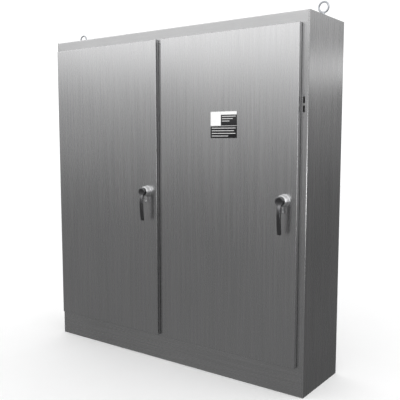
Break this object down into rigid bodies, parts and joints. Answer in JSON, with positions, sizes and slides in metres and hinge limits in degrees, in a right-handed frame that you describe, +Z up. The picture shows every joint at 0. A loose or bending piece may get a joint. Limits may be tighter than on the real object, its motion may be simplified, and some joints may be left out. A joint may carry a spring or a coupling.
{
  "type": "two-door subpanel enclosure",
  "caption": "Free-standing stainless enclosure with hinged doors, lever handles with rod latches, inner subpanels, an operator flange and lifting eyes.",
  "frame": {"origin": "centre of the body's footprint, on the floor", "axes": "+X to the right of someone facing the doors, +Y to the back, +Z up"},
  "size_m": [1.9964, 0.5577, 2.2182],
  "materials": {
    "body_stainless": "brushed, satin, grain along the sheet",
    "door_stainless": "brushed, satin, upright grain",
    "handle_chrome": "polished casting",
    "plated_steel": "zinc plated",
    "subpanel_paint": "white powder paint",
    "gasket_rubber": "matt foam rubber",
    "nameplate_black": "satin film, blank",
    "pocket_plastic": "moulded, fine texture",
    "roller_plastic": "natural nylon"
  },
  "bodies": {
    "root": {"left_side_panel": "body_stainless", "right_side_panel": "body_stainless", "roof_panel": "body_stainless", "floor_panel": "body_stainless", "back_panel": "body_stainless", "centre_post": "body_stainless", "post_nut_upper": "plated_steel", "post_nut_lower": "plated_steel", "ground_stud": "plated_steel", "left_subpanel": "subpanel_paint", "right_subpanel": "subpanel_paint", "left_panel_nut_lower_left": "plated_steel", "left_panel_nut_lower_right": "plated_steel", "left_panel_nut_upper_left": "plated_steel", "left_panel_nut_upper_right": "plated_steel", "right_panel_nut_lower_left": "plated_steel", "right_panel_nut_lower_right": "plated_steel", "right_panel_nut_upper_left": "plated_steel", "right_panel_nut_upper_right": "plated_steel", "lifting_eye_left": "plated_steel", "lifting_eye_right": "plated_steel", "lifting_eye_nut_left": "plated_steel", "lifting_eye_nut_right": "plated_steel", "left_hinge_frame_leaf": "body_stainless", "left_hinge_pin": "plated_steel", "right_hinge_frame_leaf": "body_stainless", "right_hinge_pin": "plated_steel"},
    "left_door": {"left_door": "door_stainless", "left_door_gasket": "gasket_rubber", "left_door_stiffener": "body_stainless", "left_hinge_door_leaf": "body_stainless", "left_handle_base": "handle_chrome", "left_latch_bracket": "plated_steel", "left_rod_guide_upper": "plated_steel", "left_rod_guide_lower": "plated_steel", "document_pocket": "pocket_plastic"},
    "left_handle": {"left_handle_lever": "handle_chrome", "left_latch_pinion": "plated_steel"},
    "left_rod_upper": {"left_latch_rod_upper": "plated_steel"},
    "left_roller_upper": {"left_latch_roller_upper": "roller_plastic"},
    "left_rod_lower": {"left_latch_rod_lower": "plated_steel"},
    "left_roller_lower": {"left_latch_roller_lower": "roller_plastic"},
    "right_door": {"right_door": "door_stainless", "right_door_gasket": "gasket_rubber", "right_door_stiffener": "body_stainless", "right_hinge_door_leaf": "body_stainless", "right_handle_base": "handle_chrome", "right_latch_bracket": "plated_steel", "right_rod_guide_upper": "plated_steel", "right_rod_guide_lower": "plated_steel", "nameplate": "nameplate_black"},
    "right_handle": {"right_handle_lever": "handle_chrome", "right_latch_pinion": "plated_steel"},
    "right_rod_upper": {"right_latch_rod_upper": "plated_steel"},
    "right_roller_upper": {"right_latch_roller_upper": "roller_plastic"},
    "right_rod_lower": {"right_latch_rod_lower": "plated_steel"},
    "right_roller_lower": {"right_latch_roller_lower": "roller_plastic"}
  },
  "joints": [
    {"name": "left_door_hinge", "type": "hinge", "parent": "root", "child": "left_door", "pos_m": [-0.9679, -0.2339, 1.12], "axis": [0, 0, -1], "range_deg": [0, 105]},
    {"name": "left_handle_turn", "type": "hinge", "parent": "left_door", "child": "left_handle", "pos_m": [-0.1216, -0.2586, 1.115], "axis": [0, 1, 0], "range_deg": [0, 90]},
    {"name": "left_rod_upper_slide", "type": "slide", "parent": "left_door", "child": "left_rod_upper", "axis": [0, 0, -1], "range_m": [0, 0.0236]},
    {"name": "left_rod_lower_slide", "type": "slide", "parent": "left_door", "child": "left_rod_lower", "axis": [0, 0, 1], "range_m": [0, 0.0236]},
    {"name": "left_roller_upper_spin", "type": "hinge", "parent": "left_rod_upper", "child": "left_roller_upper", "pos_m": [-0.0967, -0.2196, 2.0349], "axis": [1, 0, 0], "continuous": true},
    {"name": "left_roller_lower_spin", "type": "hinge", "parent": "left_rod_lower", "child": "left_roller_lower", "pos_m": [-0.1465, -0.2196, 0.2047], "axis": [1, 0, 0], "continuous": true},
    {"name": "right_door_hinge", "type": "hinge", "parent": "root", "child": "right_door", "pos_m": [-0.0109, -0.2339, 1.12], "axis": [0, 0, -1], "range_deg": [0, 105]},
    {"name": "right_handle_turn", "type": "hinge", "parent": "right_door", "child": "right_handle", "pos_m": [0.8714, -0.2586, 1.115], "axis": [0, 1, 0], "range_deg": [0, 90]},
    {"name": "right_rod_upper_slide", "type": "slide", "parent": "right_door", "child": "right_rod_upper", "axis": [0, 0, -1], "range_m": [0, 0.0236]},
    {"name": "right_rod_lower_slide", "type": "slide", "parent": "right_door", "child": "right_rod_lower", "axis": [0, 0, 1], "range_m": [0, 0.0236]},
    {"name": "right_roller_upper_spin", "type": "hinge", "parent": "right_rod_upper", "child": "right_roller_upper", "pos_m": [0.8963, -0.2196, 2.0349], "axis": [1, 0, 0], "continuous": true},
    {"name": "right_roller_lower_spin", "type": "hinge", "parent": "right_rod_lower", "child": "right_roller_lower", "pos_m": [0.8465, -0.2196, 0.2047], "axis": [1, 0, 0], "continuous": true}
  ],
  "couplings": [
    {"joint": "left_rod_upper_slide", "follows": "left_handle_turn", "m_per_rad": 0.015},
    {"joint": "left_rod_lower_slide", "follows": "left_handle_turn", "m_per_rad": 0.015},
    {"joint": "right_rod_upper_slide", "follows": "right_handle_turn", "m_per_rad": 0.015},
    {"joint": "right_rod_lower_slide", "follows": "right_handle_turn", "m_per_rad": 0.015}
  ]
}
